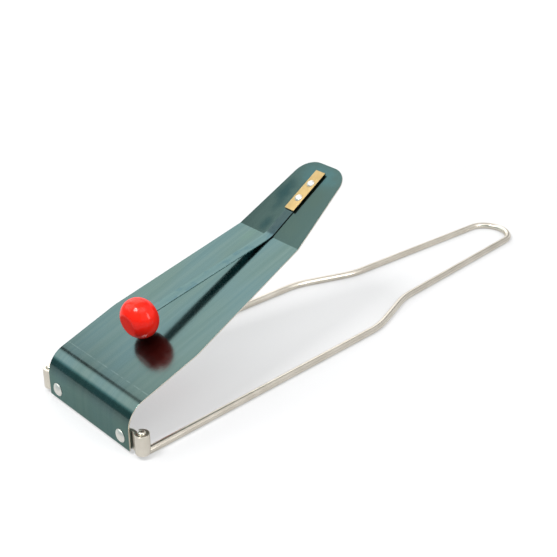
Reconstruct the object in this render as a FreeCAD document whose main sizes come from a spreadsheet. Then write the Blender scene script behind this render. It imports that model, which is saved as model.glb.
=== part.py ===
import FreeCAD, Part
import math
import os
import Sketcher

# Flexatone: a tapered blade of spring steel is riveted to a crossbar between the ends of a bent wire
# frame. Two spring arms clamped to the blade's thumb tab carry wooden balls that strike it on both sides.
#
# Frame: +X runs from the crossbar to the bow of the handle, +Y to the left and +Z up. The origin is under
# the middle of the object's box, on the surface that the wire lies on. Millimetres and degrees.

document = FreeCAD.newDocument("flexatone")
vector = FreeCAD.Vector


# Driving sizes. Stations along X are measured from the front face of the blade's foot.

SIZES = [
    ("wire_diameter", 3.6, "round wire of the frame"),
    ("wire_bend", 3.2, "centreline radius of the upturn into an eye"),
    ("wire_standout", 0.9, "wire end above the top of its eye"),
    ("wire_end_round", 1.1, "rounding of the sheared wire ends"),
    ("side_half_width", 35.5, "wire centreline from the middle plane, at the eyes"),
    ("neck_station", 156.9, "corner where the sides start to draw in"),
    ("neck_half_width", 30.9, "wire centreline at that corner"),
    ("grip_station", 189.3, "corner where the grip starts"),
    ("grip_half_width", 18.7, "wire centreline at that corner"),
    ("neck_bend", 45.0, "centreline radius of both corners"),
    ("bow_radius", 12.4, "centreline radius of the bow at the grip's end"),
    ("bow_station", 297.2, "wire centreline at the tip of the bow"),
    ("bar_height", 10.0, "width of the strip that forms the crossbar"),
    ("bar_thickness", 1.5, "strip of the crossbar"),
    ("bar_bottom", 2.2, "crossbar above the surface"),
    ("eye_setback", 2.95, "centre of an eye behind the crossbar's front face"),
    ("eye_clearance", 0.1, "eye bore round the wire"),
    ("eye_seam", 0.5, "open seam where the rolled strip ends"),
    ("blade_thickness", 0.6, "spring steel of the blade"),
    ("blade_width", 61.4, "parallel part of the blade"),
    ("foot_bottom", 1.8, "lower edge of the blade above the surface"),
    ("curl_bottom", 12.25, "height where the upright foot starts to curl"),
    ("curl_radius", 12.4, "outer radius of the curl"),
    ("panel_angle", 18.84, "rise of the panel"),
    ("panel_length", 105.9, "panel from the curl to the crease"),
    ("taper_start", 31.7, "panel from the curl to the start of its taper"),
    ("crease_width", 41.1, "blade width at the crease"),
    ("tab_angle", 32.3, "rise of the thumb tab"),
    ("tab_length", 47.0, "thumb tab from the crease to its end"),
    ("tab_width", 28.0, "width of the tab's taper, prolonged to its end"),
    ("tab_corner", 10.5, "rounding of the tab's corners"),
    ("arm_width", 5.2, "spring strip of the arms"),
    ("arm_thickness", 0.5, "spring strip of the arms"),
    ("arm_angle", 7.5, "angle between an arm and the panel"),
    ("arm_reach", 79.3, "crease to the centre of a ball"),
    ("arm_root", 41.0, "clamped strip from the crease to its end"),
    ("arm_tip", 3.0, "strip beyond the centre of its ball"),
    ("ball_diameter", 19.2, "ball across the arm"),
    ("ball_length", 13.8, "ball along the arm"),
    ("ball_facet", 10.6, "diameter of the flats at its ends"),
    ("ball_edge", 0.8, "rounding of the flats"),
    ("slot_clearance", 0.05, "slot of a ball round its strip"),
    ("clamp_start", 16.6, "crease to the clamp plates"),
    ("clamp_length", 25.2, "clamp plate"),
    ("clamp_width", 6.2, "clamp plate"),
    ("clamp_thickness", 0.8, "clamp plate"),
    ("clamp_chamfer", 0.15, "broken edges of the clamp plates"),
    ("clamp_rivet_start", 24.1, "crease to the first clamp rivet"),
    ("clamp_rivet_pitch", 9.6, "between the clamp rivets"),
    ("clamp_shank_radius", 1.0, "clamp rivet"),
    ("clamp_head_radius", 2.0, "clamp rivet, both heads"),
    ("clamp_head_height", 1.0, "clamp rivet, both heads"),
    ("foot_rivet_inset", 6.4, "foot rivet from the long edge of the blade"),
    ("foot_rivet_height", 6.8, "foot rivet above the surface"),
    ("foot_shank_radius", 1.8, "foot rivet"),
    ("foot_head_radius", 3.2, "foot rivet, front head"),
    ("foot_head_height", 1.3, "foot rivet, front head"),
    ("foot_tail_radius", 2.9, "foot rivet, set head behind the crossbar"),
    ("foot_tail_height", 1.1, "foot rivet, set head behind the crossbar"),
    ("rivet_clearance", 0.05, "rivet holes round their shanks"),
    ("flex_gap", 0.25, "from the crease to each end of a strip that bends there"),
    ("split_gap", 0.05, "between the curl and the panel that flexes on it"),
]

# Sizes that follow from the driving ones.

LAYOUT = [
    ("origin_station", "(Sizes.bow_station + Sizes.wire_diameter / 2 - Sizes.foot_head_height) / 2"),
    ("wire_radius", "Sizes.wire_diameter / 2"),
    ("bar_top", "Sizes.bar_bottom + Sizes.bar_height"),
    ("bar_back", "Sizes.blade_thickness + Sizes.bar_thickness"),
    ("wire_top", "bar_top + Sizes.wire_standout"),
    ("eye_station", "Sizes.blade_thickness + Sizes.eye_setback"),
    ("eye_bore", "wire_radius + Sizes.eye_clearance"),
    ("eye_outside", "eye_bore + Sizes.bar_thickness"),
    ("notch_top", "wire_radius + Sizes.wire_bend + Sizes.eye_clearance"),
    ("notch_width", "Sizes.wire_diameter + 2 * Sizes.eye_clearance"),
    ("foot_rivet_spread", "Sizes.blade_width / 2 - Sizes.foot_rivet_inset"),
    ("curl_inside", "Sizes.curl_radius - Sizes.blade_thickness"),
    ("panel_sine", "sin(Sizes.panel_angle * 1 deg)"),
    ("panel_cosine", "cos(Sizes.panel_angle * 1 deg)"),
    ("crease_station", "Sizes.curl_radius * (1 - panel_sine) + Sizes.panel_length * panel_cosine"),
    ("crease_height",
     "Sizes.curl_bottom + Sizes.curl_radius * panel_cosine + Sizes.panel_length * panel_sine"),
    ("fold", "Sizes.tab_angle - Sizes.panel_angle"),
    ("fold_sine", "sin(fold * 1 deg)"),
    ("fold_cosine", "cos(fold * 1 deg)"),
    ("fold_shift", "Sizes.blade_thickness * tan(fold / 2 * 1 deg)"),
    ("panel_reach", "Sizes.panel_length - Sizes.split_gap"),
    ("taper_reach", "(Sizes.panel_length - Sizes.taper_start) * fold_cosine"),
    ("tab_taper_tangent", "(Sizes.crease_width - Sizes.tab_width) / 2 / Sizes.tab_length"),
    ("tab_taper", "atan(tab_taper_tangent)"),
    ("corner_x", "Sizes.tab_length - Sizes.tab_corner"),
    ("corner_y",
     "Sizes.crease_width / 2 - corner_x * tab_taper_tangent - Sizes.tab_corner / cos(tab_taper)"),
    ("trim_end", "Sizes.tab_length + Sizes.tab_corner"),
    ("lower_root_level", "-Sizes.blade_thickness - Sizes.arm_thickness"),
    ("lower_clamp_level", "lower_root_level - Sizes.clamp_thickness"),
    ("clamp_top", "Sizes.arm_thickness + Sizes.clamp_thickness"),
    ("clamp_grip", "clamp_top - lower_clamp_level"),
    ("ball_bulge", "(Sizes.ball_diameter - Sizes.ball_facet) / 2"),
    ("ball_arc_radius", "((Sizes.ball_length / 2) ^ 2 + ball_bulge ^ 2) / (2 * ball_bulge)"),
]


def fill_sheet(name, rows):
    """make a sheet of named cells, each with its meaning beside it where it has one"""
    sheet = document.addObject("Spreadsheet::Sheet", name)
    for number, row in enumerate(rows, start=1):
        sheet.set(f"A{number}", row[1] if isinstance(row[1], str) else str(row[1]))
        sheet.setAlias(f"A{number}", row[0])
        if len(row) > 2:
            sheet.set(f"B{number}", row[2])
    return sheet


sizes = fill_sheet("Sizes", SIZES)
layout = fill_sheet("Layout", [(name, "=" + formula) for name, formula in LAYOUT])
document.recompute()


# Drawing helpers

def draw_on(body, name, plane):
    """an empty sketch on one of the body's own origin planes"""
    sketch = body.newObject("Sketcher::SketchObject", name)
    support = next(feature for feature in body.Origin.OriginFeatures if feature.Role == plane)
    sketch.AttachmentSupport = [(support, "")]
    sketch.MapMode = "FlatFace"
    return sketch


def bind(sketch, constraint, formula):
    """add a constraint whose value is the formula's"""
    sketch.setExpression(f"Constraints[{sketch.addConstraint(constraint)}]", formula)


def arc_through(start, end, radius, side):
    """the shorter arc from start to end; side is 1 where its centre is on the left of the way"""
    middle = (start + end) * 0.5
    left = vector(start.y - end.y, end.x - start.x, 0).normalize()
    depth = math.sqrt(max(radius ** 2 - (end - start).Length ** 2 / 4, 0))
    crown = middle + left * (side * (depth - radius))
    return Part.Arc(start, crown, end)


def draw_outline(sketch, corners, arcs=None):
    """closed outline whose corners are (x, y) formulas; arcs gives (radius formula, side) per edge"""
    arcs = arcs or {}
    count = len(corners)
    points = [vector(sketch.evalExpression(x), sketch.evalExpression(y), 0) for x, y in corners]
    first = sketch.GeometryCount
    for edge, start in enumerate(points):
        end = points[(edge + 1) % count]
        if edge in arcs:
            formula, side = arcs[edge]
            curve = arc_through(start, end, sketch.evalExpression(formula), side)
        else:
            curve = Part.LineSegment(start, end)
        sketch.addGeometry(curve, False)

    def ends(edge):
        """vertex numbers of an edge's start and end: an arc drawn clockwise is stored the other way"""
        return (2, 1) if edge in arcs and arcs[edge][1] < 0 else (1, 2)

    for edge, (x, y) in enumerate(corners):
        following = (edge + 1) % count
        start, end = ends(edge)
        sketch.addConstraint(
            Sketcher.Constraint("Coincident", first + edge, end, first + following, ends(following)[0]))
        here = points[edge]
        bind(sketch, Sketcher.Constraint("DistanceX", -1, 1, first + edge, start, here.x), x)
        bind(sketch, Sketcher.Constraint("DistanceY", -1, 1, first + edge, start, here.y), y)
        if edge in arcs:
            radius = sketch.evalExpression(arcs[edge][0])
            bind(sketch, Sketcher.Constraint("Radius", first + edge, radius), arcs[edge][0])


def draw_circle(sketch, x, y, radius):
    """circle whose centre and radius are formulas"""
    centre = vector(sketch.evalExpression(x), sketch.evalExpression(y), 0)
    size = sketch.evalExpression(radius)
    number = sketch.addGeometry(Part.Circle(centre, vector(0, 0, 1), size), False)
    bind(sketch, Sketcher.Constraint("DistanceX", -1, 1, number, 3, centre.x), x)
    bind(sketch, Sketcher.Constraint("DistanceY", -1, 1, number, 3, centre.y), y)
    bind(sketch, Sketcher.Constraint("Radius", number, size), radius)


def pad(body, sketch, name, length, symmetric=False):
    """raise the sketch by a length formula, to one side or half to each"""
    feature = body.newObject("PartDesign::Pad", name)
    feature.Profile = sketch
    feature.SideType = "Symmetric" if symmetric else "One side"
    feature.setExpression("Length", length)
    sketch.Visibility = False
    return feature


def cut_through(body, sketch, name):
    """cut the sketch through the whole body, to both sides of its plane"""
    feature = body.newObject("PartDesign::Pocket", name)
    feature.Profile = sketch
    feature.SideType = "Symmetric"
    feature.Type = "ThroughAll"
    sketch.Visibility = False
    return feature


def revolve(body, sketch, name, axis):
    """turn the sketch once round one of its own axes, H_Axis or V_Axis"""
    feature = body.newObject("PartDesign::Revolution", name)
    feature.Profile = sketch
    feature.ReferenceAxis = (sketch, [axis])
    feature.Angle = 360.0
    sketch.Visibility = False
    return feature


def placement(x="0", y="0", z="0", turn="0"):
    """place formula: a shift and a turn about Y, positive from Z towards X"""
    return f"placement(vector({x}; {y}; {z}); rotation(vector(0; 1; 0); {turn}))"


def place(piece, x="0", y="0", z="0", turn="0", on=None):
    """place a piece by station, side and height, or in the frame of the piece that carries it"""
    if on:
        piece.setExpression("Placement", f"{on}.Placement * {placement(x, y, z, turn)}")
    else:
        piece.setExpression("Placement", placement(f"{x} - Layout.origin_station", y, z, turn))


def box(name, length, width, height, x, y, z):
    """block with its low corner at a station, side and height"""
    block = document.addObject("Part::Box", name)
    block.setExpression("Length", length)
    block.setExpression("Width", width)
    block.setExpression("Height", height)
    place(block, x, y, z)
    return block


def rod(name, radius, length, x, y, z, turn="0"):
    """cylinder that starts at a station, side and height and runs up, or to +X with a turn of 90"""
    cylinder = document.addObject("Part::Cylinder", name)
    cylinder.setExpression("Radius", radius)
    cylinder.setExpression("Height", length)
    place(cylinder, x, y, z, turn)
    return cylinder


def join(name, pieces):
    """union of several pieces"""
    union = document.addObject("Part::MultiFuse", name)
    union.Shapes = pieces
    union.Refine = True
    return union


def cut(name, base, tool):
    """base less tool"""
    rest = document.addObject("Part::Cut", name)
    rest.Base = base
    rest.Tool = tool
    rest.Refine = True
    return rest


# Wire frame: one length of round wire, both ends turned up into the eyes of the crossbar

def rounded_run(corners, radii):
    """edges through the corners, with a tangent arc of its own radius at each inner one"""
    edges = []
    last = corners[0]
    for before, corner, after, radius in zip(corners, corners[1:], corners[2:], radii):
        arriving = (corner - before).normalize()
        leaving = (after - corner).normalize()
        turn = arriving.getAngle(leaving)
        trim = radius * math.tan(turn / 2)
        start = corner - arriving * trim
        end = corner + leaving * trim
        inward = (leaving - arriving).normalize()
        crown = corner + inward * (radius / math.cos(turn / 2) - radius)
        edges.append(Part.LineSegment(last, start).toShape())
        edges.append(Part.Arc(start, crown, end).toShape())
        last = end
    edges.append(Part.LineSegment(last, corners[-1]).toShape())
    return edges


def frame_route():
    """centreline of the whole wire, from the top of the left eye round the bow to the right one"""
    level = layout.get("wire_radius")
    shift = layout.get("origin_station")
    eye = layout.get("eye_station") - shift
    side = sizes.get("side_half_width")
    neck = vector(sizes.get("neck_station") - shift, sizes.get("neck_half_width"), level)
    grip = vector(sizes.get("grip_station") - shift, sizes.get("grip_half_width"), level)
    bow = sizes.get("bow_radius")
    centre = vector(sizes.get("bow_station") - bow - shift, 0, level)
    to_centre = centre - grip
    slant = math.asin(bow / to_centre.Length) + math.atan2(to_centre.y, to_centre.x)
    touch = centre + vector(-math.sin(slant), math.cos(slant), 0) * bow
    left = rounded_run(
        [vector(eye, side, layout.get("wire_top")), vector(eye, side, level), neck, grip, touch],
        [sizes.get("wire_bend"), sizes.get("neck_bend"), sizes.get("neck_bend")])
    right = [edge.mirror(vector(0, 0, 0), vector(0, 1, 0)) for edge in left]
    tip = centre + vector(bow, 0, 0)
    turn = Part.Arc(touch, tip, vector(touch.x, -touch.y, touch.z)).toShape()
    return Part.Wire(Part.__sortEdges__(left + [turn] + right))


def make_wire_frame():
    route = document.addObject("Part::Feature", "wire_route")
    route.Shape = frame_route()
    section = document.addObject("Part::Circle", "wire_section")
    section.setExpression("Radius", "Layout.wire_radius")
    place(section, "Layout.eye_station", "Sizes.side_half_width", "Layout.wire_top")
    wire = document.addObject("Part::Sweep", "bent_wire")
    wire.Sections = [section]
    wire.Spine = (route, [f"Edge{number + 1}" for number in range(len(route.Shape.Edges))])
    wire.Solid = True
    wire.Frenet = False
    document.recompute()
    top = layout.get("wire_top")
    rims = [number + 1 for number, edge in enumerate(wire.Shape.Edges)
            if abs(edge.BoundBox.ZMin - top) < 1e-6 and abs(edge.BoundBox.ZMax - top) < 1e-6]
    largest_round = 0.9 * layout.get("wire_radius")
    rounding = min(sizes.get("wire_end_round"), largest_round)
    frame = document.addObject("Part::Fillet", "wire_frame")
    frame.Base = wire
    frame.Edges = [(rim, rounding, rounding) for rim in rims]
    return frame


# Crossbar: a strip whose ends are rolled into upright eyes round the wire ends

def make_crossbar():
    strip = box("crossbar_strip", "Sizes.bar_thickness", "2 * Sizes.side_half_width", "Sizes.bar_height",
                "Sizes.blade_thickness", "-Sizes.side_half_width", "Sizes.bar_bottom")
    rolls = []
    openings = []
    sides = (("left", "", "Sizes.side_half_width - Layout.eye_outside"),
             ("right", "-", "-Sizes.side_half_width"))
    for side, sign, seam_start in sides:
        middle = f"{sign}Sizes.side_half_width"
        rolls.append(rod(f"eye_roll_{side}", "Layout.eye_outside", "Sizes.bar_height",
                         "Layout.eye_station", middle, "Sizes.bar_bottom"))
        openings.append(rod(f"eye_bore_{side}", "Layout.eye_bore", "Layout.wire_top",
                            "Layout.eye_station", middle, "0"))
        openings.append(box(f"eye_notch_{side}", "Layout.eye_outside + Sizes.eye_clearance",
                            "Layout.notch_width", "Layout.notch_top", "Layout.eye_station",
                            f"{middle} - Layout.notch_width / 2", "0"))
        openings.append(box(f"eye_seam_{side}", "Sizes.eye_seam", "Layout.eye_outside", "Layout.wire_top",
                            "Layout.bar_back", seam_start, "0"))
        openings.append(rod(f"bar_hole_{side}", "Sizes.foot_shank_radius + Sizes.rivet_clearance",
                            "Layout.bar_back", "0", f"{sign}Layout.foot_rivet_spread",
                            "Sizes.foot_rivet_height", "90"))
    return cut("crossbar", join("crossbar_blank", [strip] + rolls), join("crossbar_openings", openings))


# Holes of the clamp, the same in everything that its two rivets hold

def draw_clamp_holes(sketch):
    """holes of the two clamp rivets, with the crease at the sketch's origin"""
    for number in range(2):
        draw_circle(sketch, f"Sizes.clamp_rivet_start + {number} * Sizes.clamp_rivet_pitch", "0",
                    "Sizes.clamp_shank_radius + Sizes.rivet_clearance")


# Blade: one sheet of blued spring steel. It is held as two pieces, the foot with its curl, which the
# rivets fix, and the tongue that the thumb flexes on it.

def make_blade_foot():
    foot = document.addObject("PartDesign::Body", "blade_foot")
    profile = draw_on(foot, "foot_profile", "XZ_Plane")
    drop = "Sizes.foot_bottom - Sizes.curl_bottom"
    draw_outline(profile, [
        ("-Sizes.curl_radius", drop),
        ("-Sizes.curl_radius", "0"),
        ("-Sizes.curl_radius * Layout.panel_sine", "Sizes.curl_radius * Layout.panel_cosine"),
        ("-Layout.curl_inside * Layout.panel_sine", "Layout.curl_inside * Layout.panel_cosine"),
        ("-Layout.curl_inside", "0"),
        ("-Layout.curl_inside", drop),
    ], {1: ("Sizes.curl_radius", -1), 3: ("Layout.curl_inside", 1)})
    pad(foot, profile, "foot_sheet", "Sizes.blade_width", symmetric=True)
    holes = draw_on(foot, "foot_hole_sketch", "YZ_Plane")
    for sign in ("", "-"):
        draw_circle(holes, f"{sign}Layout.foot_rivet_spread",
                    "Sizes.foot_rivet_height - Sizes.curl_bottom",
                    "Sizes.foot_shank_radius + Sizes.rivet_clearance")
    cut_through(foot, holes, "foot_holes")
    place(foot, "Sizes.curl_radius", "0", "Sizes.curl_bottom")
    return foot


def make_blade_tongue():
    """origin on the crease, X up the tab, Z square to the tab's upper face"""
    tongue = document.addObject("PartDesign::Body", "blade_tongue")
    profile = draw_on(tongue, "tongue_profile", "XZ_Plane")
    start_x = "-Layout.panel_reach * Layout.fold_cosine"
    start_z = "Layout.panel_reach * Layout.fold_sine"
    draw_outline(profile, [
        (start_x, start_z),
        ("0", "0"),
        ("Sizes.tab_length", "0"),
        ("Sizes.tab_length", "-Sizes.blade_thickness"),
        ("-Layout.fold_shift", "-Sizes.blade_thickness"),
        (f"{start_x} - Sizes.blade_thickness * Layout.fold_sine",
         f"{start_z} - Sizes.blade_thickness * Layout.fold_cosine"),
    ])
    pad(tongue, profile, "tongue_sheet", "Sizes.blade_width", symmetric=True)
    trim = draw_on(tongue, "taper_sketch", "XY_Plane")
    draw_outline(trim, [
        ("-Layout.taper_reach", "Sizes.blade_width / 2"),
        ("0", "Sizes.crease_width / 2"),
        ("Layout.corner_x + Sizes.tab_corner * sin(Layout.tab_taper)",
         "Layout.corner_y + Sizes.tab_corner * cos(Layout.tab_taper)"),
        ("Sizes.tab_length", "Layout.corner_y"),
        ("Layout.trim_end", "Layout.corner_y"),
        ("Layout.trim_end", "Sizes.blade_width"),
        ("-Layout.taper_reach", "Sizes.blade_width"),
    ], {2: ("Sizes.tab_corner", -1)})
    taper = cut_through(tongue, trim, "taper_left")
    document.recompute()
    other = tongue.newObject("PartDesign::Mirrored", "taper_right")
    other.Originals = [taper]
    middle = next(feature for feature in tongue.Origin.OriginFeatures if feature.Role == "XZ_Plane")
    other.MirrorPlane = (middle, [""])
    tongue.Tip = other
    document.recompute()
    holes = draw_on(tongue, "tongue_hole_sketch", "XY_Plane")
    draw_clamp_holes(holes)
    cut_through(tongue, holes, "tongue_holes")
    place(tongue, "Layout.crease_station", "0", "Layout.crease_height", "-Sizes.tab_angle")
    return tongue


# Arms: two strips of spring steel, clamped flat on the tab and bent away from the panel at the crease.
# Each is held as its clamped root and the free arm that swings.

def make_strip(name, start, length, thickness, width, holes):
    """flat strip along X that starts at a place formula, with or without the clamp's holes"""
    strip = document.addObject("PartDesign::Body", name)
    outline = draw_on(strip, f"{name}_outline", "XY_Plane")
    end = f"{start} + {length}"
    draw_outline(outline, [(start, f"-{width} / 2"), (end, f"-{width} / 2"),
                           (end, f"{width} / 2"), (start, f"{width} / 2")])
    pad(strip, outline, f"{name}_sheet", thickness)
    if holes:
        drilled = draw_on(strip, f"{name}_hole_sketch", "XY_Plane")
        draw_clamp_holes(drilled)
        cut_through(strip, drilled, f"{name}_holes")
    return strip


def make_arm_root(name, level):
    root = make_strip(name, "Sizes.flex_gap", "(Sizes.arm_root - Sizes.flex_gap)",
                      "Sizes.arm_thickness", "Sizes.arm_width", True)
    place(root, z=level, on="blade_tongue")
    return root


def make_arm_spring(name, level, bend):
    """the free arm runs to -X from the crease; its outer face is up on the upper arm, down on the lower"""
    length = "(Sizes.arm_reach + Sizes.arm_tip - Sizes.flex_gap)"
    spring = make_strip(name, "-Sizes.arm_reach - Sizes.arm_tip", length,
                        "Sizes.arm_thickness", "Sizes.arm_width", False)
    crease_x, crease_z = ("-Layout.fold_shift", "-Sizes.blade_thickness") if level else ("0", "0")
    hinge = f"blade_tongue.Placement * {placement(x=crease_x, z=crease_z, turn=bend)}"
    spring.setExpression("Placement", f"{hinge} * {placement(z=level or '0')}")
    return spring


def make_clamp_plate(name, level):
    plate = make_strip(name, "Sizes.clamp_start", "Sizes.clamp_length",
                       "Sizes.clamp_thickness", "Sizes.clamp_width", True)
    document.recompute()
    drilled = plate.Tip
    faces = [f"Face{number + 1}" for number, face in enumerate(drilled.Shape.Faces)
             if abs(face.normalAt(0, 0).z) > 0.99]
    broken = plate.newObject("PartDesign::Chamfer", f"{name}_edges")
    broken.Base = (drilled, faces)
    broken.setExpression("Size", "Sizes.clamp_chamfer")
    place(plate, z=level, on="blade_tongue")
    return plate


def make_ball(name, spring):
    """turned wooden bead on the end of an arm: X along the arm, flats at both ends, blind slot"""
    ball = document.addObject("PartDesign::Body", name)
    profile = draw_on(ball, f"{name}_profile", "XZ_Plane")
    draw_outline(profile, [
        ("-Sizes.ball_length / 2", "0"),
        ("-Sizes.ball_length / 2", "Sizes.ball_facet / 2"),
        ("Sizes.ball_length / 2", "Sizes.ball_facet / 2"),
        ("Sizes.ball_length / 2", "0"),
    ], {1: ("Layout.ball_arc_radius", -1)})
    turned = revolve(ball, profile, f"{name}_turned", "H_Axis")
    document.recompute()
    rounded = ball.newObject("PartDesign::Fillet", f"{name}_rounded")
    facet = sizes.get("ball_facet") / 2
    rims = [f"Edge{number + 1}" for number, edge in enumerate(turned.Shape.Edges)
            if edge.Curve.TypeId == "Part::GeomCircle" and abs(edge.Curve.Radius - facet) < 1e-6
            and abs(abs(edge.Curve.Axis.x) - 1) < 1e-6]
    rounded.Base = (turned, rims)
    rounded.setExpression("Radius", "Sizes.ball_edge")
    document.recompute()
    mouth = draw_on(ball, f"{name}_slot_sketch", "XZ_Plane")
    slot_end = "-Sizes.arm_tip - Sizes.slot_clearance"
    slot_face = "(Sizes.arm_thickness / 2 + Sizes.slot_clearance)"
    draw_outline(mouth, [(slot_end, f"-{slot_face}"), ("Sizes.ball_length", f"-{slot_face}"),
                         ("Sizes.ball_length", slot_face), (slot_end, slot_face)])
    slot = ball.newObject("PartDesign::Pocket", f"{name}_slot")
    slot.Profile = mouth
    slot.SideType = "Symmetric"
    slot.setExpression("Length", "Sizes.arm_width + 2 * Sizes.slot_clearance")
    place(ball, x="-Sizes.arm_reach", z="Sizes.arm_thickness / 2", on=spring)
    return ball


# Rivets: domed heads on both sides of what they hold

def make_rivet(name, kind, grip, tail_radius, tail_height):
    """origin under the front head, shank along -Z through the grip to the set head"""
    rivet = document.addObject("PartDesign::Body", name)
    shank = f"Sizes.{kind}_shank_radius"
    head = f"Sizes.{kind}_head_radius"
    height = f"Sizes.{kind}_head_height"
    profile = draw_on(rivet, f"{name}_profile", "XZ_Plane")
    draw_outline(profile, [
        ("0", height),
        (head, "0"),
        (shank, "0"),
        (shank, f"-{grip}"),
        (tail_radius, f"-{grip}"),
        ("0", f"-{grip} - {tail_height}"),
    ], {0: (f"({head} ^ 2 + {height} ^ 2) / (2 * {height})", -1),
        4: (f"({tail_radius} ^ 2 + {tail_height} ^ 2) / (2 * {tail_height})", -1)})
    revolve(rivet, profile, f"{name}_turned", "V_Axis")
    return rivet


def make_foot_rivet(name, sign):
    rivet = make_rivet(name, "foot", "Layout.bar_back", "Sizes.foot_tail_radius", "Sizes.foot_tail_height")
    place(rivet, "0", f"{sign}Layout.foot_rivet_spread", "Sizes.foot_rivet_height", "-90")
    return rivet


def make_clamp_rivet(name, number):
    rivet = make_rivet(name, "clamp", "Layout.clamp_grip", "Sizes.clamp_head_radius",
                       "Sizes.clamp_head_height")
    place(rivet, x=f"Sizes.clamp_rivet_start + {number} * Sizes.clamp_rivet_pitch", z="Layout.clamp_top",
          on="blade_tongue")
    return rivet


pieces = [
    make_wire_frame(),
    make_crossbar(),
    make_blade_foot(),
    make_foot_rivet("foot_rivet_left", ""),
    make_foot_rivet("foot_rivet_right", "-"),
    make_blade_tongue(),
    make_arm_root("upper_arm_root", "0"),
    make_arm_root("lower_arm_root", "Layout.lower_root_level"),
    make_clamp_plate("upper_clamp_plate", "Sizes.arm_thickness"),
    make_clamp_plate("lower_clamp_plate", "Layout.lower_clamp_level"),
    make_clamp_rivet("clamp_rivet_near_crease", 0),
    make_clamp_rivet("clamp_rivet_near_tip", 1),
    make_arm_spring("upper_arm_spring", "", "Layout.fold + Sizes.arm_angle"),
    make_ball("upper_ball", "upper_arm_spring"),
    make_arm_spring("lower_arm_spring", "-Sizes.arm_thickness", "Layout.fold - Sizes.arm_angle"),
    make_ball("lower_ball", "lower_arm_spring"),
]
document.recompute()

for item in document.Objects:
    if "Invalid" in item.State or "Error" in item.State:
        raise RuntimeError(f"{item.Label} did not build: {item.State}")
for piece in pieces:
    if piece.Shape.isNull() or not piece.Shape.isValid():
        raise RuntimeError(f"{piece.Label} has no valid shape")

os.makedirs("parts", exist_ok=True)
for piece in pieces:
    piece.Shape.exportStep(os.path.join("parts", piece.Label + ".step"))
    bounds = piece.Shape.BoundBox
    print(f"{piece.Label}: {len(piece.Shape.Solids)} solid, {piece.Shape.Volume:.1f} mm3, "
          f"x {bounds.XMin:.2f} to {bounds.XMax:.2f}, y {bounds.YMin:.2f} to {bounds.YMax:.2f}, "
          f"z {bounds.ZMin:.2f} to {bounds.ZMax:.2f}")
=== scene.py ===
import math
import bmesh
import bpy
from mathutils import Matrix, Vector


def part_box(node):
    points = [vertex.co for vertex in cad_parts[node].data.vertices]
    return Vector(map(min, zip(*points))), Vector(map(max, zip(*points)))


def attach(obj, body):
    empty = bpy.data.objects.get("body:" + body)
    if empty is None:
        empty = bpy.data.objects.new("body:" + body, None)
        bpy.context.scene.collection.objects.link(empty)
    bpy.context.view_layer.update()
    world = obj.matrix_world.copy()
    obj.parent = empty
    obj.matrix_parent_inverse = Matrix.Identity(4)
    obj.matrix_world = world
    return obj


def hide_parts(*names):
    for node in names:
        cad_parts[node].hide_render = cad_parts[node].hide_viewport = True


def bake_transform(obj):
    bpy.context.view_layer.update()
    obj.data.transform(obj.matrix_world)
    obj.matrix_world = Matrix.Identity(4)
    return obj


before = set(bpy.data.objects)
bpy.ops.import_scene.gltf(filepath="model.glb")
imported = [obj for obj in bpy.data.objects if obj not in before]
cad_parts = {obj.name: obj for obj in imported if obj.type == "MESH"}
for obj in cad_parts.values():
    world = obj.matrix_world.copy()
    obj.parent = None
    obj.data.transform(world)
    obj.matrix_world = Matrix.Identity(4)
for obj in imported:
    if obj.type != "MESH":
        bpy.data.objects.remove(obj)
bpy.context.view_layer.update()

mm = 0.001


# Wire frame. One length of round steel wire, nickel plated: bent round formers at the bow, the grip and the
# necks, and turned up at both ends. One half is run and bent from the tip of the bow, and then mirrored.

def settle(name):
    """name the primitive just added, put its place into its mesh and open it with all of it selected"""
    piece = bpy.context.object
    piece.name = name
    bpy.ops.object.transform_apply(location=True, rotation=True, scale=True)
    bpy.ops.object.mode_set(mode="EDIT")
    bpy.ops.mesh.select_all(action="SELECT")
    return piece


def pick(piece, test):
    """select the vertices whose place passes the test, with the edges and faces between them"""
    bpy.ops.mesh.select_all(action="DESELECT")
    mesh = bmesh.from_edit_mesh(piece.data)
    for vertex in mesh.verts:
        if test(vertex.co):
            vertex.select_set(True)
    mesh.select_flush(True)
    bmesh.update_edit_mesh(piece.data)


def middle(piece):
    """the middle of the selected vertices"""
    places = [vertex.co for vertex in bmesh.from_edit_mesh(piece.data).verts if vertex.select]
    return sum(places, Vector()) / len(places)


def run(step):
    """draw the open end out by a step"""
    bpy.ops.mesh.extrude_region_move(TRANSFORM_OT_translate={"value": tuple(step)})


def bend(centre, axis, angle, steps):
    """turn the open end about an axis, right-handed"""
    bpy.ops.mesh.spin(steps=steps, angle=-angle, center=tuple(centre), axis=tuple(axis))


def swell(piece, scale):
    """scale the open end about its own middle"""
    bpy.ops.transform.resize(value=tuple(scale), center_override=tuple(middle(piece)))


def round_corner(start, corner, following, radius, steps):
    """run the open end from a place to a corner, bend it towards the following one, say where it is"""
    arriving = (corner - start).normalized()
    leaving = (following - corner).normalized()
    turn = arriving.angle(leaving)
    axis = arriving.cross(leaving).normalized()
    reached = corner - arriving * radius * math.tan(turn / 2)
    run(reached - start)
    bend(reached + axis.cross(arriving) * radius, axis, turn, steps)
    return corner + leaving * radius * math.tan(turn / 2)


def select_only(piece):
    """make a piece the one that operators and modifiers work on"""
    bpy.ops.object.select_all(action="DESELECT")
    piece.select_set(True)
    bpy.context.view_layer.objects.active = piece


def turn_out(piece):
    """merge doubles and turn the faces of a closed shape outwards"""
    select_only(piece)
    bpy.ops.object.mode_set(mode="EDIT")
    bpy.ops.mesh.select_all(action="SELECT")
    bpy.ops.mesh.remove_doubles(threshold=0.001 * mm)
    bpy.ops.mesh.normals_make_consistent(inside=False)
    bpy.ops.object.mode_set(mode="OBJECT")


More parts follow.
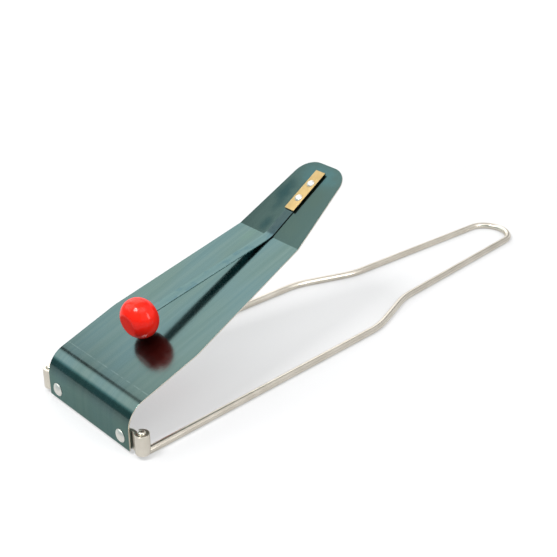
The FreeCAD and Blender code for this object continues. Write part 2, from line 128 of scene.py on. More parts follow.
def modify(piece, kind, **settings):
    """add a modifier with its settings and apply it"""
    select_only(piece)
    modifier = piece.modifiers.new(kind.title(), kind)
    for name, value in settings.items():
        setattr(modifier, name, value)
    bpy.ops.object.modifier_apply(modifier=modifier.name)


def round_edges(piece, width, segments, angle=50):
    """round the edges that turn by more than an angle in degrees"""
    modify(piece, "BEVEL", width=width, segments=segments, limit_method="ANGLE",
           angle_limit=math.radians(angle))


def smooth(piece, angle=35):
    """smooth shading up to an angle in degrees"""
    select_only(piece)
    bpy.ops.object.shade_smooth_by_angle(angle=math.radians(angle))


bpy.ops.object.select_all(action="DESELECT")

wire_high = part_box("wire_frame")[1]
foot_low, foot_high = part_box("blade_foot")
front = foot_low.x
wire_radius = 1.8 * mm
wire_sides = 36
bow_radius = 12.4 * mm
bow_steps = 26
bow_centre = Vector((wire_high.x - wire_radius - bow_radius, 0, wire_radius))
grip = Vector((front + 189.3 * mm, 18.7 * mm, wire_radius))
grip_steps = 12
neck = Vector((front + 156.9 * mm, 30.9 * mm, wire_radius))
neck_radius = 45 * mm
neck_steps = 10
eye = Vector((front + 3.55 * mm, 35.5 * mm, wire_radius))
upturn_radius = 3.2 * mm
upturn_steps = 12
wire_end = Vector((eye.x, eye.y, wire_high.z))
end_round = 1.1 * mm
end_steps = 5

bpy.ops.mesh.primitive_circle_add(
    vertices=wire_sides, radius=wire_radius, location=bow_centre + Vector((bow_radius, 0, 0)),
    rotation=(math.pi / 2, 0, 0))
wire = settle("bent_wire")
to_bow = bow_centre - grip
slant = math.asin(bow_radius / to_bow.length) + math.atan2(to_bow.y, to_bow.x)
bend(bow_centre, (0, 0, 1), math.pi / 2 + slant, bow_steps)
place = bow_centre + Vector((-math.sin(slant), math.cos(slant), 0)) * bow_radius
place = round_corner(place, grip, neck, neck_radius, grip_steps)
place = round_corner(place, neck, eye, neck_radius, neck_steps)
place = round_corner(place, eye, wire_end, upturn_radius, upturn_steps)
run(wire_end - place - Vector((0, 0, end_round)))
for step in range(end_steps):
    before = math.pi / 2 * step / end_steps
    after = math.pi / 2 * (step + 1) / end_steps
    run((0, 0, end_round * (math.sin(after) - math.sin(before))))
    narrower = wire_radius - end_round * (1 - math.cos(after))
    narrower /= wire_radius - end_round * (1 - math.cos(before))
    swell(wire, (narrower, narrower, 1))
bpy.ops.mesh.edge_face_add()
bpy.ops.object.mode_set(mode="OBJECT")
modify(wire, "MIRROR", use_axis=(False, True, False), use_clip=False, merge_threshold=0.01 * mm)
turn_out(wire)
smooth(wire)


class Field:
    """a socket of a shader, so that its maths is written as plain expressions"""

    def __init__(self, shader, socket):
        self.shader = shader
        self.socket = socket

    def __add__(self, other):
        return self.shader.maths("ADD", self, other)

    def __sub__(self, other):
        return self.shader.maths("SUBTRACT", self, other)

    def __rsub__(self, other):
        return self.shader.maths("SUBTRACT", other, self)

    def __mul__(self, other):
        return self.shader.maths("MULTIPLY", self, other)

    def __pow__(self, other):
        return self.shader.maths("POWER", self, other)

    __radd__ = __add__
    __rmul__ = __mul__

    def rise(self, low, high):
        """0 below low, 1 above high and smooth between them, or falling where high is below low"""
        return self.shader.node("ShaderNodeMapRange", {"interpolation_type": "SMOOTHSTEP"},
                                {"Value": self, "From Min": low, "From Max": high})

    def band(self, low, high, soft):
        """1 between low and high, with soft edges outside them"""
        return self.rise(low - soft, low) * self.rise(high + soft, high)


class Shader:
    """the node tree of a material or of the world"""

    def __init__(self, owner):
        owner.use_nodes = True
        self.owner = owner
        self.tree = owner.node_tree
        self.tree.nodes.clear()

    def node(self, kind, settings, inputs, output=0):
        """a node of any type: its settings first, then the values or links of its sockets"""
        node = self.tree.nodes.new(kind)
        for name, value in settings.items():
            setattr(node, name, value)
        for name, value in inputs.items():
            if isinstance(value, Field):
                self.tree.links.new(value.socket, node.inputs[name])
            else:
                node.inputs[name].default_value = value
        return Field(self, node.outputs[output]) if node.outputs else None

    def maths(self, operation, *values):
        """a Math node with its numbers or sockets in order"""
        return self.node("ShaderNodeMath", {"operation": operation}, dict(enumerate(values)))

    def blend(self, factor, first, second):
        """mix of two colours"""
        return self.node("ShaderNodeMix", {"data_type": "RGBA"}, {0: factor, 6: first, 7: second}, 2)

    def object_place(self):
        """place on the piece, in metres"""
        return self.node("ShaderNodeTexCoord", {}, {}, "Object")

    def axes(self, place):
        """the three numbers of a place"""
        split = self.node("ShaderNodeSeparateXYZ", {}, {0: place})
        return [split] + [Field(self, split.socket.node.outputs[number]) for number in (1, 2)]

    def noise(self, place, stretch, detail=3.0, roughness=0.5):
        """noise from 0 to 1 with so many waves per metre along each axis"""
        stretched = self.node("ShaderNodeMapping", {}, {"Vector": place, "Scale": stretch})
        return self.node("ShaderNodeTexNoise", {},
                         {"Vector": stretched, "Scale": 1.0, "Detail": detail, "Roughness": roughness})

    def bump(self, height, distance):
        """normal of a surface with so much relief, in metres"""
        return self.node("ShaderNodeBump", {}, {"Height": height, "Distance": distance, "Strength": 1.0})

    def light_path(self, kind):
        """1 for rays of one kind, such as Is Camera Ray, and 0 for the others"""
        return self.node("ShaderNodeLightPath", {}, {}, kind)

    def surface(self, **inputs):
        """end the tree in a principled surface, whose sockets are given by their names"""
        sockets = {}
        for name, value in inputs.items():
            sockets[name.replace("_", " ").title().replace("Ior", "IOR")] = value
        shader = self.node("ShaderNodeBsdfPrincipled", {}, sockets)
        self.node("ShaderNodeOutputMaterial", {}, {"Surface": shader})
        return self.owner


def dress(piece, *materials):
    """give a piece its materials, in the order of its slots"""
    piece.data.materials.clear()
    for material in materials:
        piece.data.materials.append(material)


def colour(red, green, blue):
    """an opaque colour, in linear light"""
    return (red, green, blue, 1.0)


def make_nickel(name, streak):
    """nickel plate over drawn steel: warm, bright, a little cloudy, with fine draw lines"""
    shader = Shader(bpy.data.materials.new(name))
    place = shader.object_place()
    cloud = shader.noise(place, (90, 90, 90), detail=4.0)
    lines = shader.noise(place, streak, detail=2.0)
    specks = shader.noise(place, (700, 700, 700), detail=2.0).rise(0.7, 0.8)
    base = shader.blend(cloud.rise(0.35, 0.7), colour(0.69, 0.64, 0.55), colour(0.77, 0.72, 0.63))
    base = shader.blend(specks * 0.35, base, colour(0.40, 0.34, 0.26))
    relief = shader.bump(lines + specks * -0.5, 0.004 * mm)
    return shader.surface(base_color=base, metallic=1.0, normal=relief,
                          roughness=0.26 + cloud * 0.1 + specks * 0.12)


nickel_wire = make_nickel("nickel_plated_wire", (60, 900, 900))
dress(wire, nickel_wire)
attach(wire, "frame")
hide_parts("wire_frame")


# Crossbar. A nickel plated strip on edge between the two wire ends. Beyond the blade it bows back a little,
# and each end is then rolled forward round its wire into an upright eye with an open seam. The roll is
# notched where the wire comes in.

bar_low, bar_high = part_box("crossbar")
bar_thickness = 1.5 * mm
blade_thickness = 0.6 * mm
bar_middle = front + blade_thickness + bar_thickness / 2
wire_play = 0.1 * mm
roll_radius = wire_radius + wire_play + bar_thickness / 2
bow_back = 0.9 * mm
ease_radius = 2 * mm
ease_turn = math.acos(1 - bow_back / (2 * ease_radius))
ease_start = 28.4 * mm
bar_beside = bar_middle + bow_back
joggle_radius = 1.6 * mm
joggle_rise = math.sqrt((joggle_radius + roll_radius) ** 2 - (joggle_radius + eye.x - bar_beside) ** 2)
joggle_turn = math.asin(joggle_rise / (joggle_radius + roll_radius))
roll_turn = math.radians(258)
ease_steps = 5
joggle_steps = 7
roll_steps = 44
bar_edge = 0.38 * mm
sheet_smooth = 20
notch_width = 2 * (wire_radius + wire_play)
notch_top = wire_radius + upturn_radius + wire_play


def cut_away(piece, tool):
    """cut a tool's shape out of a piece, and remove the tool"""
    bpy.ops.object.mode_set(mode="OBJECT")
    modify(piece, "BOOLEAN", object=tool, operation="DIFFERENCE", solver="EXACT")
    bpy.data.objects.remove(tool)


bpy.ops.mesh.primitive_plane_add(
    size=1, location=(bar_middle, 0, (bar_low.z + bar_high.z) / 2), rotation=(math.pi / 2, 0, 0))
bar = settle("rolled_crossbar")
swell(bar, (bar_thickness, 1, bar_high.z - bar_low.z))
bpy.ops.mesh.delete(type="ONLY_FACE")
pick(bar, lambda place: True)
run((0, ease_start, 0))
ease_end = ease_start + 2 * ease_radius * math.sin(ease_turn)
bend((bar_middle + ease_radius, ease_start, 0), (0, 0, -1), ease_turn, ease_steps)
bend((bar_beside - ease_radius, ease_end, 0), (0, 0, 1), ease_turn, ease_steps)
run((0, eye.y - joggle_rise - ease_end, 0))
bend((bar_beside - joggle_radius, eye.y - joggle_rise, 0), (0, 0, 1), joggle_turn, joggle_steps)
bend((eye.x, eye.y, 0), (0, 0, -1), joggle_turn + roll_turn, roll_steps)
bpy.ops.mesh.edge_face_add()
bpy.ops.object.mode_set(mode="OBJECT")
modify(bar, "MIRROR", use_axis=(False, True, False), merge_threshold=0.01 * mm)
turn_out(bar)
round_edges(bar, bar_edge, 5)
for side in (-1, 1):
    bpy.ops.mesh.primitive_cube_add(size=1, location=(eye.x + roll_radius, side * eye.y, notch_top / 2))
    tool = settle("notch")
    swell(tool, (2 * roll_radius, notch_width, notch_top))
    cut_away(bar, tool)
smooth(bar, sheet_smooth)
nickel_strip = make_nickel("nickel_plated_strip", (900, 60, 900))
dress(bar, nickel_strip)
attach(bar, "frame")
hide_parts("crossbar")


# Blade. One sheet of blued spring steel, sheared from strip, so its edges are bare: an upright foot, a curl
# over the crossbar, a long panel that tapers to a crease, and the thumb tab with rounded corners. It is one
# piece here, though the thumb flexes the real blade at the curl.

curl_radius = 12.4 * mm
curl_bottom = 12.25 * mm
panel_angle = math.radians(18.84)
panel_length = 105.9 * mm
taper_start = 31.7 * mm
crease_width = 41.1 * mm
tab_angle = math.radians(32.3)
tab_length = 47 * mm
tab_width = 28 * mm
tab_corner = 10.5 * mm
crease_radius = 0.8 * mm
blade_edge = 0.09 * mm
bend_line = 3.5 * mm
bend_line_half = 0.15 * mm
curl_steps = 48
panel_rows = 16
taper_rows = 12
tab_rows = 6
corner_rows = 14
blade_width = foot_high.y - foot_low.y


def slope(angle):
    """direction up a slope, and the normal of its upper face"""
    return (Vector((math.cos(angle), 0, math.sin(angle))),
            Vector((-math.sin(angle), 0, math.cos(angle))))


panel_way, panel_normal = slope(panel_angle)
tab_way, tab_normal = slope(tab_angle)
curl_centre = Vector((front + curl_radius, 0, curl_bottom))
curl_end = curl_centre + panel_normal * curl_radius
crease = curl_end + panel_way * panel_length
fold = tab_angle - panel_angle


def tab_half_width(distance):
    """half the width of the tab, so far from the crease, without its rounded corners"""
    return (crease_width - (crease_width - tab_width) * distance / tab_length) / 2


tab_taper = math.atan((crease_width - tab_width) / 2 / tab_length)
corner_along = tab_length - tab_corner
corner_across = tab_half_width(corner_along) - tab_corner / math.cos(tab_taper)


def widen_to(piece, half_width):
    """bring the open end of a sheet to a new half width"""
    ends = [vertex.co.y for vertex in bmesh.from_edit_mesh(piece.data).verts if vertex.select]
    swell(piece, (1, half_width / max(ends), 1))


def face_up(piece, spot):
    """turn the faces of an open sheet up, judged by the face nearest to a spot"""
    nearest = min(piece.data.polygons, key=lambda face: (face.center - spot).length)
    if nearest.normal.z < 0:
        bpy.ops.object.mode_set(mode="EDIT")
        bpy.ops.mesh.select_all(action="SELECT")
        bpy.ops.mesh.flip_normals()
        bpy.ops.object.mode_set(mode="OBJECT")


def make_blued_steel(name, films, marks):
    """spring steel with the blue-green film of its temper, brushed lengthwise before it was tempered"""
    shader = Shader(bpy.data.materials.new(name))
    place = shader.object_place()
    brushed = shader.noise(place, (7, 420, 7), detail=6.0, roughness=0.65)
    scored = shader.noise(place, (5, 1500, 5), detail=3.0).rise(0.6, 0.72)
    cloud = shader.noise(place, (22, 60, 22), detail=3.0)
    base = shader.blend(cloud.rise(0.3, 0.7), films[0], films[1])
    base = shader.blend(brushed.rise(0.42, 0.7) * 0.5, base, films[2])
    base = shader.blend(brushed.rise(0.52, 0.3) * 0.35, base, films[3])
    base = shader.blend(scored * 0.25, base, films[4])
    base = marks(shader, base, *shader.axes(place))
    return shader.surface(base_color=base, metallic=1.0, specular_tint=colour(0.75, 0.95, 0.85),
                          normal=shader.bump(brushed, 0.006 * mm),
                          roughness=0.12 + brushed * 0.07 + scored * 0.05 + cloud * 0.03)


def mark_blade(shader, base, x, y, z):
    """the line that the bending tool left beside the curl, and a different tone over the tab with darker,
    bluer and olive patches
    """
    along = x * panel_way.x + z * panel_way.z - curl_end.dot(panel_way)
    wander = shader.noise(shader.object_place(), (60, 320, 60), detail=3.0)
    line = along.band(bend_line - bend_line_half, bend_line + bend_line_half, bend_line_half)
    line *= wander.rise(0.35, 0.6)
    base = shader.blend(line * 0.35, base, colour(0.22, 0.29, 0.28))
    along = x * tab_way.x + z * tab_way.z - crease.dot(tab_way)
    ragged = shader.noise(shader.object_place(), (260, 260, 260), detail=3.0) * 0.9
    base = shader.blend(along.rise(-0.5 * mm, 0.5 * mm) * 0.8, base, colour(0.105, 0.180, 0.165))
    for place, across, length, width, depth, film in tab_patches:
        reach = (((along - place) * (1 / length)) ** 2 + ((y - across) * (1 / width)) ** 2) ** 0.5
        base = shader.blend((reach + ragged).rise(1.75, 0.6) * depth, base, film)
    return base


dark_film = colour(0.035, 0.098, 0.106)
blue_film = colour(0.105, 0.235, 0.248)
olive_film = colour(0.112, 0.178, 0.146)
# each patch: how far past the crease and from the middle, its length and width, its depth and its film
tab_patches = (
    (26 * mm, 11.3 * mm, 8 * mm, 4.5 * mm, 0.75, dark_film),
    (18 * mm, 9.3 * mm, 6 * mm, 3 * mm, 0.5, dark_film),
    (5.4 * mm, 6.8 * mm, 5 * mm, 3.2 * mm, 0.65, dark_film),
    (40 * mm, 0, 8 * mm, 14 * mm, 0.7, blue_film),
    (27 * mm, -8 * mm, 9 * mm, 5 * mm, 0.5, olive_film),
    (9 * mm, -6 * mm, 10 * mm, 9 * mm, 0.4, olive_film),
    (-5 * mm, 9.6 * mm, 6 * mm, 3 * mm, 0.4, olive_film),
)
blued_steel = make_blued_steel("blued_blade_steel", (
    colour(0.100, 0.154, 0.142), colour(0.094, 0.156, 0.162), colour(0.128, 0.184, 0.176),
    colour(0.078, 0.132, 0.134), colour(0.150, 0.198, 0.188)), mark_blade)
bare_edge = make_nickel("sheared_steel_edge", (40, 40, 1500))
bpy.ops.mesh.primitive_plane_add(
    size=1, location=(front, 0, (foot_low.z + curl_bottom) / 2), rotation=(0, math.pi / 2, 0))
blade = settle("blued_blade")
swell(blade, (1, blade_width, curl_bottom - foot_low.z))
pick(blade, lambda place: place.z > curl_bottom - 0.1 * mm)
bend(curl_centre, (0, 1, 0), math.pi / 2 - panel_angle, curl_steps)
for row in range(panel_rows):
    run(panel_way * taper_start / panel_rows)
crease_setback = crease_radius * math.tan(fold / 2)
for row in range(1, taper_rows + 1):
    run(panel_way * (panel_length - taper_start - crease_setback) / taper_rows)
    widen_to(blade, (blade_width + (crease_width - blade_width) * row / taper_rows) / 2)
bend(crease - panel_way * crease_setback + panel_normal * crease_radius, (0, -1, 0), fold, 3)
straight_end = corner_along + tab_corner * math.sin(tab_taper)
reached = crease_setback
for row in range(1, tab_rows + 1):
    along = reached + (straight_end - reached) / (tab_rows + 1 - row)
    run(tab_way * (along - reached))
    widen_to(blade, tab_half_width(along))
    reached = along
for row in range(1, corner_rows + 1):
    angle = tab_taper + (math.pi / 2 - tab_taper) * row / corner_rows
    along = corner_along + tab_corner * math.sin(angle)
    run(tab_way * (along - reached))
    widen_to(blade, corner_across + tab_corner * math.cos(angle))
    reached = along
bpy.ops.object.mode_set(mode="OBJECT")
dress(blade, blued_steel, bare_edge)
face_up(blade, crease)
modify(blade, "SOLIDIFY", thickness=blade_thickness, offset=-1, use_even_offset=True, material_offset_rim=1)
round_edges(blade, blade_edge, 2)
smooth(blade, sheet_smooth)
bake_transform(blade)
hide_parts("blade_foot", "blade_tongue")


# Foot rivets. Two aluminium rivets with low domed heads fix the blade's foot to the crossbar. The set heads
# behind the bar are a little smaller.

def make_rivet(name, shank_radius, grip, heads):
    """rivet on the Z axis with its front head's seat at the origin; heads are (radius, height) pairs"""
    rim = 0.12
    rings = 7
    bpy.ops.mesh.primitive_cylinder_add(vertices=40, radius=shank_radius, depth=grip,
                                        end_fill_type="NOTHING", location=(0, 0, -grip / 2))
    rivet = settle(name)
    for (radius, height), way, seat in zip(heads, (1, -1), (0, -grip)):
        pick(rivet, lambda place: abs(place.z - seat) < 0.01 * mm)
        cap_height = height * (1 - rim)
        cap_radius = (radius ** 2 + cap_height ** 2) / (2 * cap_height)
        outline = [(radius * (1 - rim / 3), 0), (radius, height * rim / 2),
                   (radius * (1 - rim / 8), height * rim)]
        for ring in range(1, rings + 1):
            across = radius * (1 - ring / (rings + 1))
            drop = cap_radius - math.sqrt(cap_radius ** 2 - across ** 2)
            outline.append((across, height - drop))
        last_radius, last_height = shank_radius, 0
        for across, up in outline:
            run((0, 0, way * (up - last_height)))
            swell(rivet, (across / last_radius, across / last_radius, 1))
            last_radius, last_height = across, up
        bpy.ops.mesh.edge_face_add()
    bpy.ops.object.mode_set(mode="OBJECT")
    turn_out(rivet)
    smooth(rivet, 40)
    return rivet


def make_soft_metal(name, base, rough):
    """aluminium or brass as it comes from the press: fine, matt and a little uneven"""
    shader = Shader(bpy.data.materials.new(name))
    place = shader.object_place()
    grain = shader.noise(place, (2600, 2600, 2600), detail=2.0)
    cloud = shader.noise(place, (260, 260, 260), detail=3.0)
    tone = shader.blend(cloud.rise(0.35, 0.7), base[0], base[1])
    tone = shader.blend(grain.rise(0.6, 0.8) * 0.5, tone, base[2])
    return shader.surface(base_color=tone, metallic=1.0, normal=shader.bump(grain, 0.006 * mm),
                          roughness=rough + cloud * 0.12)


foot_shank_radius = 1.8 * mm
foot_head = (3.2 * mm, 1.3 * mm)
foot_set_head = (2.9 * mm, 1.1 * mm)
foot_grip = blade_thickness + bar_thickness
rivet_metal = make_soft_metal("aluminium_rivet", (
    colour(0.78, 0.76, 0.71), colour(0.85, 0.83, 0.78), colour(0.60, 0.57, 0.51)), 0.42)
for side in ("left", "right"):
    rivet = make_rivet(
        f"domed_foot_rivet_{side}", foot_shank_radius, foot_grip, (foot_head, foot_set_head))
    rivet_low, rivet_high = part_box(f"foot_rivet_{side}")
    seat = Vector((front, (rivet_low.y + rivet_high.y) / 2, (rivet_low.z + rivet_high.z) / 2))
    rivet.data.transform(Matrix.Translation(seat) @ Matrix.Rotation(-math.pi / 2, 4, "Y"))
    dress(rivet, rivet_metal)
    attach(rivet, "frame")
    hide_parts(f"foot_rivet_{side}")


# Arms. Two strips of thin spring steel lie on both faces of the tab, under the clamp plates, and bend away
# from the panel at the crease. Each is one strip here, though the real arm swings from its bend. Their
# faces towards the panel are painted a lighter teal beyond the crease, as painted light, and their edges
# are painted lighter along the free length and painted dark as shade along the clamped length.

arm_width = 5.2 * mm
arm_thickness = 0.5 * mm
arm_angle = math.radians(7.5)
arm_root = 41 * mm
arm_reach = 79.3 * mm
arm_tip = 3 * mm
arm_edge_round = 0.06 * mm
upper_bend_radius = 14 * mm
lower_bend_radius = 6 * mm
flex_rows = 10
flex_row = 1 * mm
arm_flex_above = 1 * mm
arm_flex_below = 8 * mm
under_crease = crease - tab_way * blade_thickness * math.tan(fold / 2) - tab_normal * blade_thickness


def mark_arm(shader, base, x, y, z):
    """bluer and darker spots of the arms' film"""
    spots = shader.noise(shader.object_place(), (170, 260, 170), detail=3.0).rise(0.52, 0.68)
    return shader.blend(spots * 0.5, base, colour(0.060, 0.120, 0.145))


def paint_arm_edge_shade(shader, base, x, y, z):
    """painted dark shade along the edges of the clamped length, beyond the crease"""
    return shader.blend(x.rise(crease.x - 6 * mm, crease.x), base, colour(0.018, 0.030, 0.032))


arm_steel = make_blued_steel("blued_arm_steel", (
    colour(0.098, 0.160, 0.158), colour(0.102, 0.164, 0.172), colour(0.135, 0.195, 0.190),
    colour(0.080, 0.140, 0.150), colour(0.150, 0.205, 0.200)), mark_arm)
# the edges' film is painted much lighter than the arm's, a painted light, and is painted dark as shade on
# the clamped length
arm_edge_painted_light_and_shade = make_blued_steel("blued_arm_edge_painted_light_and_shade", (
    colour(0.280, 0.430, 0.420), colour(0.300, 0.450, 0.450), colour(0.330, 0.480, 0.475),
    colour(0.230, 0.380, 0.385), colour(0.330, 0.480, 0.475)), paint_arm_edge_shade)
# a much lighter teal film for the faces towards the panel: painted light
arm_underside_painted_light = make_blued_steel("blued_arm_underside_painted_light", (
    colour(0.060, 0.320, 0.370), colour(0.080, 0.360, 0.410), colour(0.090, 0.380, 0.430),
    colour(0.050, 0.280, 0.330), colour(0.090, 0.380, 0.430)), mark_arm)
arms = (
    ("upper", crease, panel_angle - arm_angle, upper_bend_radius, -1),
    ("lower", under_crease, panel_angle + arm_angle, lower_bend_radius, 1),
)
for name, corner, angle, radius, side in arms:
    arm_way = slope(angle)[0]
    start = corner + tab_way * arm_root
    bpy.ops.mesh.primitive_plane_add(size=1, location=start, rotation=(0, -tab_angle, 0))
    arm = settle(f"{name}_spring_arm")
    bpy.ops.transform.resize(value=(0, arm_width, 0), center_override=tuple(start))
    bpy.ops.mesh.remove_doubles(threshold=0.001 * mm)
    pick(arm, lambda place: True)
    end = corner - arm_way * (arm_reach + arm_tip)
    place = round_corner(start, corner, end, radius, 8)
    for row in range(flex_rows):
        run(-arm_way * flex_row)
        place -= arm_way * flex_row
    run(end - place)
    bpy.ops.object.mode_set(mode="OBJECT")
    dress(arm, arm_steel, arm_edge_painted_light_and_shade, arm_underside_painted_light)
    face_up(arm, corner)
    modify(arm, "SOLIDIFY", thickness=arm_thickness, offset=-side, use_even_offset=True,
           material_offset_rim=1)
    # the faces towards the panel beyond the crease take the painted light film
    for face in arm.data.polygons:
        if face.normal.z * side > 0.5 and face.center.x < crease.x:
            face.material_index = 2
    round_edges(arm, arm_edge_round, 2)
    smooth(arm, sheet_smooth)
    corner + tab_way * arm_flex_above
    corner - arm_way * arm_flex_below
    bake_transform(arm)
    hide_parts(f"{name}_arm_root", f"{name}_arm_spring")


# Clamp plates. Two brass bars hold the arms to the tab, one on each face. Their edges are broken, and their
# sides are painted near-black as painted shade.

clamp_start = 16.6 * mm
clamp_length = 25.2 * mm
clamp_width = 6.2 * mm
clamp_thickness = 0.8 * mm
clamp_edge = 0.14 * mm
clamp_brass = make_soft_metal("rolled_brass", (
    colour(0.50, 0.36, 0.16), colour(0.56, 0.42, 0.20), colour(0.42, 0.30, 0.12)), 0.5)
# near-black brass for the plates' sides: painted shade where the sides show dark
brass_sides_painted_shade = make_soft_metal("brass_sides_painted_shade", (
    colour(0.02, 0.016, 0.012), colour(0.03, 0.022, 0.016), colour(0.012, 0.01, 0.008)), 0.5)
plates = (
    ("upper", arm_thickness),
    ("lower", -blade_thickness - arm_thickness - clamp_thickness),
)
for name, level in plates:
    centre = (crease + tab_way * (clamp_start + clamp_length / 2)
              + tab_normal * (level + clamp_thickness / 2))
    bpy.ops.mesh.primitive_cube_add(size=1)
    plate = settle(f"{name}_brass_plate")
    swell(plate, (clamp_length, clamp_width, clamp_thickness))
    bpy.ops.object.mode_set(mode="OBJECT")
    round_edges(plate, clamp_edge, 3)
    dress(plate, clamp_brass, brass_sides_painted_shade)
    # the sides take the near-black brass, which is painted shade
    for face in plate.data.polygons:
        if abs(face.normal.z) < 0.3:
            face.material_index = 1
    plate.data.transform(Matrix.Translation(centre) @ Matrix.Rotation(-tab_angle, 4, "Y"))
    smooth(plate, sheet_smooth)
    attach(plate, "tongue")
    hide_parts(f"{name}_clamp_plate")


# Clamp rivets. Two small aluminium rivets go through both plates, both arms and the tab, and hold them
# together. Each has a round head on both sides.

clamp_shank_radius = 1.0 * mm
clamp_head = (2.0 * mm, 1.0 * mm)
clamp_top = arm_thickness + clamp_thickness
clamp_grip = 2 * clamp_top + blade_thickness
rivet_places = (("near_crease", 24.1 * mm), ("near_tip", 33.7 * mm))
for name, along in rivet_places:
    rivet = make_rivet(
        f"round_clamp_rivet_{name}", clamp_shank_radius, clamp_grip, (clamp_head, clamp_head))
    seat = crease + tab_way * along + tab_normal * clamp_top
    rivet.data.transform(Matrix.Translation(seat) @ Matrix.Rotation(-tab_angle, 4, "Y"))
    dress(rivet, rivet_metal)
    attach(rivet, "tongue")
    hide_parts(f"clamp_rivet_{name}")


# Balls. Turned wooden beads, lacquered red, with a flat at each end where the lathe held them. Each is
# pushed on the end of its arm with a slot, and glued.

ball_radius = 9.6 * mm
ball_length = 13.8 * mm
facet_radius = 5.3 * mm
ball_edge = 1.0 * mm
slot_play = 0.1 * mm
ball_half_axis = ball_length / 2 / math.sqrt(1 - (facet_radius / ball_radius) ** 2)


def make_lacquer():
    """red lacquer over turned wood: deep and glossy, with faint turning rings and pores"""
    shader = Shader(bpy.data.materials.new("red_lacquer"))
    place = shader.object_place()
    rings = shader.noise(place, (1500, 160, 160), detail=2.0)
    pores = shader.noise(place, (500, 1600, 1600), detail=2.0).rise(0.66, 0.76)
    cloud = shader.noise(place, (120, 120, 120), detail=2.0)
    base = shader.blend(cloud.rise(0.3, 0.7), colour(0.84, 0.010, 0.003), colour(0.92, 0.018, 0.005))
    base = shader.blend(pores * 0.3, base, colour(0.5, 0.004, 0.002))
    relief = shader.bump(rings * 0.6 - pores, 0.012 * mm)
    return shader.surface(base_color=base, roughness=0.5, specular_ior_level=0.05, coat_weight=0.5,
                          coat_roughness=0.18, normal=relief)


red_lacquer = make_lacquer()
for name, corner, angle, _, side in arms:
    arm_way, arm_normal = slope(angle)
    centre = corner - arm_way * arm_reach - arm_normal * side * arm_thickness / 2
    bpy.ops.mesh.primitive_uv_sphere_add(
        segments=72, ring_count=48, radius=ball_radius, rotation=(0, math.pi / 2, 0))
    ball = settle(f"{name}_wooden_ball")
    bpy.ops.transform.resize(value=(ball_half_axis / ball_radius, 1, 1), center_override=(0, 0, 0))
    for way in (-1, 1):
        bpy.ops.mesh.select_all(action="SELECT")
        bpy.ops.mesh.bisect(plane_co=(way * ball_length / 2, 0, 0), plane_no=(way, 0, 0), use_fill=True,
                            clear_outer=True)
    bpy.ops.object.mode_set(mode="OBJECT")
    round_edges(ball, ball_edge, 6, 25)
    bpy.ops.mesh.primitive_cube_add(size=1, location=((ball_length - arm_tip) / 2, 0, 0))
    tool = settle("slot")
    swell(tool, (ball_length + arm_tip + slot_play, arm_width + slot_play, arm_thickness + slot_play))
    cut_away(ball, tool)
    turn_out(ball)
    ball.data.transform(Matrix.Translation(centre) @ Matrix.Rotation(-angle, 4, "Y"))
    smooth(ball, 30)
    dress(ball, red_lacquer)
    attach(ball, f"{name}_arm")
    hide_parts(f"{name}_ball")


# Studio. A white table under the object, long soft lights over it, softer ones on the right, and a dim room
# with a bluish wall on the left. The camera sees white behind it all.

def make_table_paint():
    """matt grey that glows white where the camera or polished metal sees it, and keeps the shadow"""
    shader = Shader(bpy.data.materials.new("white_table"))
    place = shader.object_place()
    distance = shader.node("ShaderNodeVectorMath", {"operation": "LENGTH"}, {0: place}, "Value")
    paint = shader.node("ShaderNodeBsdfDiffuse", {}, {"Color": colour(0.42, 0.42, 0.424)})
    strength = shader.light_path("Is Camera Ray") * (0.41 + distance.rise(0.2, 0.55) * 0.3)
    strength += shader.light_path("Is Glossy Ray") * distance.rise(0.24, 0.17) * 0.22
    glow = shader.node("ShaderNodeEmission", {}, {"Color": colour(1, 1, 1), "Strength": strength})
    both = shader.node("ShaderNodeAddShader", {}, {0: paint, 1: glow})
    shader.node("ShaderNodeOutputMaterial", {}, {"Surface": both})
    return shader.owner


table_radius = 0.9
bpy.ops.mesh.primitive_circle_add(vertices=96, radius=table_radius, fill_type="NGON")
table = bpy.context.object
table.name = "table"
dress(table, make_table_paint())


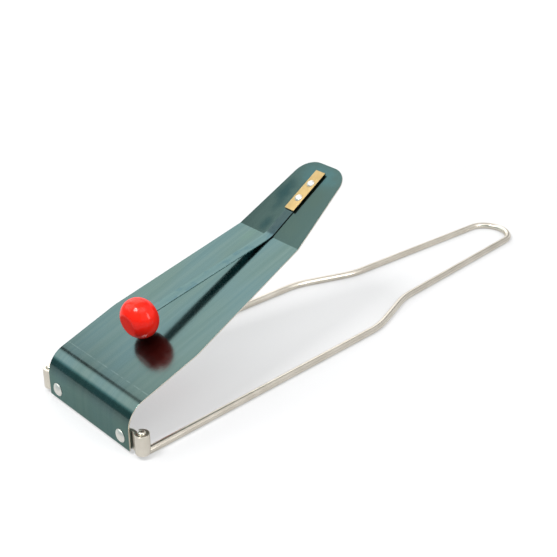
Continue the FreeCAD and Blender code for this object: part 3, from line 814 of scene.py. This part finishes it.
def make_world():
    """soft lights by direction: azimuth from +X towards +Y, elevation, and the turn about Y from +X up"""
    bpy.context.scene.world = bpy.data.worlds.new("studio")
    shader = Shader(bpy.context.scene.world)
    way = shader.node("ShaderNodeTexCoord", {}, {}, "Generated")
    x, y, z = shader.axes(way)
    elevation = shader.maths("ARCSINE", z) * math.degrees(1)
    azimuth = shader.maths("ARCTAN2", y, x) * math.degrees(1)
    turn = shader.maths("ARCTAN2", z, x) * math.degrees(1)
    # the dim room, brighter above and on the left
    room = elevation.rise(42, 56) * 0.2 + 0.12 + turn.rise(130, 150) * 0.16
    # the long lights that the blade mirrors, with a dark gap between two of them
    strips = turn.band(112, 144, 12) + turn.band(36, 84, 8) + turn.band(36, 138, 8) * 0.85
    strips *= y.band(0.45, 0.88, 0.15)
    gap = turn.band(91, 100, 4) * y.rise(0.682, 0.690) * 0.92
    # a pale backdrop behind the object, and the lights on the right
    backdrop = azimuth.band(0, 80, 15) * elevation.band(-5, 14, 8) * 0.9
    right_light = azimuth.band(-120, 0, 15) * elevation.band(10, 58, 8) * 0.55
    high_light = azimuth.band(-130, -40, 15) * elevation.band(58, 78, 6) * 2.0
    light = room + strips - gap + backdrop + right_light + high_light
    # the wall on the left is bluish, and the camera sees plain white
    tint = shader.blend(turn.rise(140, 152), colour(1, 1, 1), colour(0.5, 1, 1.04))
    seen = shader.light_path("Is Camera Ray")
    tint = shader.blend(seen, tint, colour(1, 1, 1))
    strength = light + seen * (1 - light)
    background = shader.node("ShaderNodeBackground", {}, {"Color": tint, "Strength": strength})
    shader.node("ShaderNodeOutputWorld", {}, {"Surface": background})


make_world()


def add_lamp(name, azimuth, elevation, distance, size, power):
    """soft lamp that faces the object from an azimuth and elevation in degrees"""
    way = Vector((math.cos(math.radians(azimuth)) * math.cos(math.radians(elevation)),
                  math.sin(math.radians(azimuth)) * math.cos(math.radians(elevation)),
                  math.sin(math.radians(elevation))))
    light = bpy.data.lights.new(name, "AREA")
    light.shape = "RECTANGLE"
    light.size, light.size_y = size
    light.energy = power
    lamp = bpy.data.objects.new(name, light)
    lamp.location = way * distance
    lamp.rotation_euler = way.to_track_quat("Z", "Y").to_euler()
    bpy.context.scene.collection.objects.link(lamp)


add_lamp("key_lamp", azimuth=180, elevation=57, distance=1.2, size=(0.35, 0.35), power=9.5)
add_lamp("side_lamp", azimuth=-77, elevation=28, distance=1.2, size=(0.2, 0.6), power=3)

camera_place = Vector((-367.20 * mm, -360.69 * mm, 291.38 * mm))
camera_aim = Vector((5.88 * mm, 42.81 * mm, 1.80 * mm))
camera_data = bpy.data.cameras.new("camera")
camera_data.lens = 72.52
camera_data.sensor_width = 36
camera_data.clip_start = 0.01
camera = bpy.data.objects.new("camera", camera_data)
camera.location = camera_place
camera.rotation_euler = (camera_aim - camera_place).to_track_quat("-Z", "Y").to_euler()
bpy.context.scene.collection.objects.link(camera)
bpy.context.scene.camera = camera
bpy.context.scene.view_settings.view_transform = "Standard"
